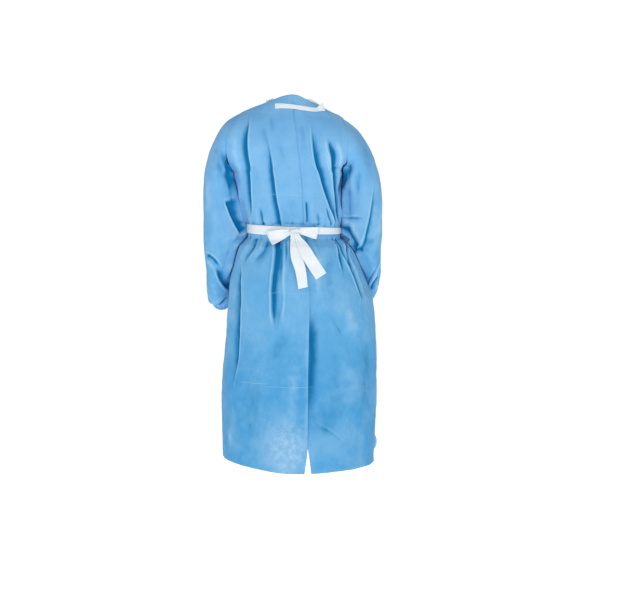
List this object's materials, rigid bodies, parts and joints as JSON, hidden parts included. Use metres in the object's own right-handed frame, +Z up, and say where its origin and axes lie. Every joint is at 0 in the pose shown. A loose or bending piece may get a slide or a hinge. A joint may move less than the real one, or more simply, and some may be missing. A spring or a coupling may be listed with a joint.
{
  "type": "isolation gown",
  "caption": "Long-sleeved protective gown of thin non-woven cloth, lapped and tied at the back with a bow, hanging in its worn hollow shape.",
  "frame": {"origin": "middle of the neck at the height of the shoulders, where the wearer's shoulders hold the gown", "axes": "+Z up, +Y the way the wearer faces, +X to the wearer's right, so the tied back opening faces -Y"},
  "size_m": [0.5729, 0.3774, 1.181],
  "materials": {
    "blue_nonwoven": "matt light-blue non-woven cloth",
    "white_tape": "matt white non-woven tape"
  },
  "bodies": {
    "root": {"front": "blue_nonwoven", "back_left": "blue_nonwoven", "back_right": "blue_nonwoven", "sleeve_left": "blue_nonwoven", "sleeve_right": "blue_nonwoven", "cuff_left": "blue_nonwoven", "cuff_right": "blue_nonwoven", "neck_binding": "white_tape", "neck_strip": "white_tape", "belt": "white_tape", "knot": "white_tape", "loop_left": "white_tape", "loop_right": "white_tape", "tail_left": "white_tape", "tail_right": "white_tape"}
  },
  "joints": []
}
